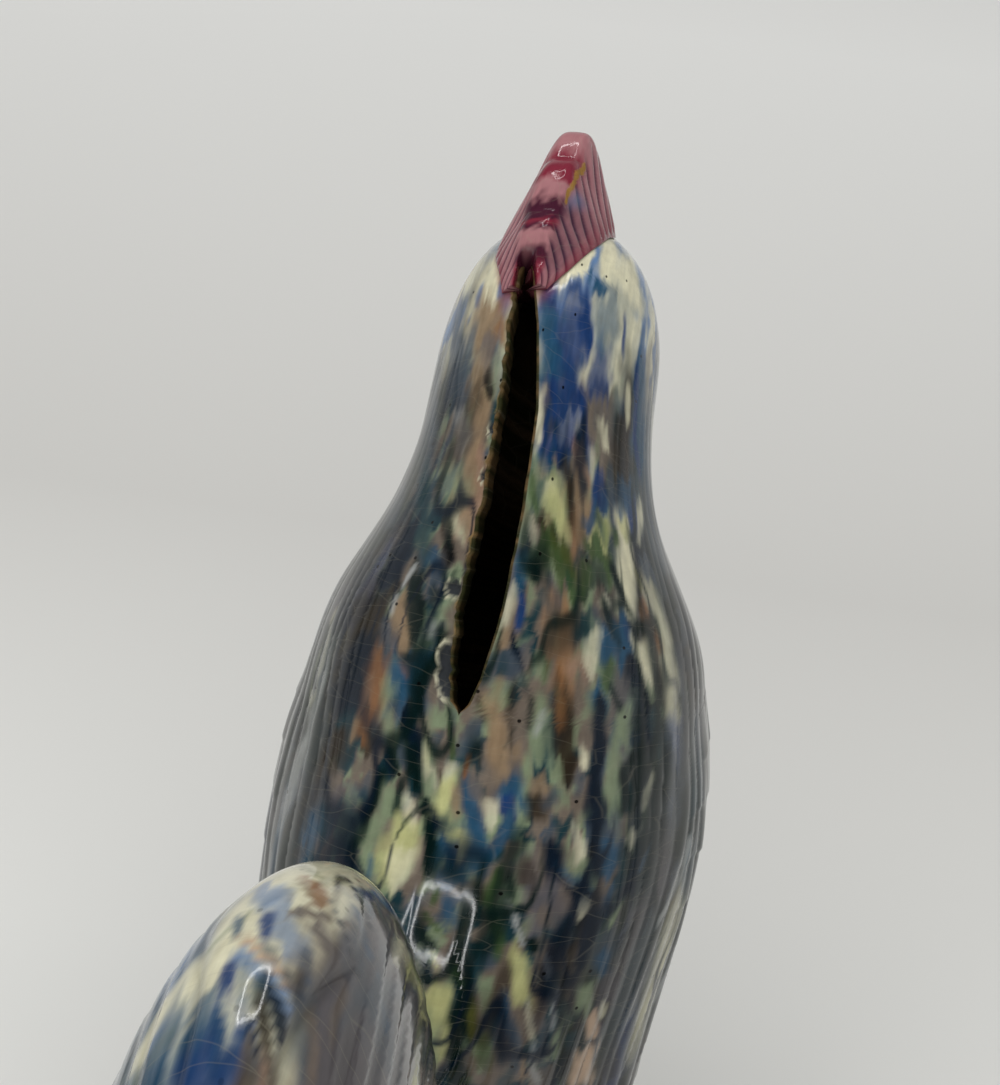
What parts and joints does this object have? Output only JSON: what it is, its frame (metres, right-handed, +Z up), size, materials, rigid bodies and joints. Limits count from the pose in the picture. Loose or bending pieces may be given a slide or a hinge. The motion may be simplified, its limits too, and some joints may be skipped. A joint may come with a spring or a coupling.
{
  "type": "cockerel money box",
  "caption": "Hollow standing cockerel of glazed earthenware with a long coin slot down the nape, raised on legs and a stump over a round base.",
  "frame": {"origin": "centre of the round foot, on the plane that it stands on", "axes": "+Z up, the bird looks along -Y and its tail points along +Y, +X is the bird's left"},
  "size_m": [0.068, 0.1885, 0.1866],
  "materials": {
    "glaze_body": "glossy",
    "glaze_tail": "glossy",
    "glaze_red": "glossy",
    "glaze_ochre": "glossy",
    "glaze_dark": "glossy",
    "glaze_brown": "glossy",
    "glaze_green": "glossy",
    "bare_clay": "matte"
  },
  "bodies": {
    "root": {"left_body_half": "glaze_body", "right_body_half": "glaze_body", "left_tail_half": "glaze_tail", "right_tail_half": "glaze_tail", "comb": "glaze_red", "upper_beak": "glaze_ochre", "lower_beak": "glaze_ochre", "left_eye": "glaze_dark", "right_eye": "glaze_dark", "left_ear_lobe": "glaze_red", "right_ear_lobe": "glaze_red", "left_wattle": "glaze_red", "right_wattle": "glaze_red", "left_wing": "glaze_body", "right_wing": "glaze_body", "left_thigh": "glaze_body", "right_thigh": "glaze_body", "left_leg": "glaze_ochre", "right_leg": "glaze_ochre", "left_spur": "glaze_ochre", "right_spur": "glaze_ochre", "left_foot": "glaze_ochre", "right_foot": "glaze_ochre", "stump": "glaze_brown", "base_mound": "glaze_green", "base_disc": "bare_clay"}
  },
  "joints": []
}
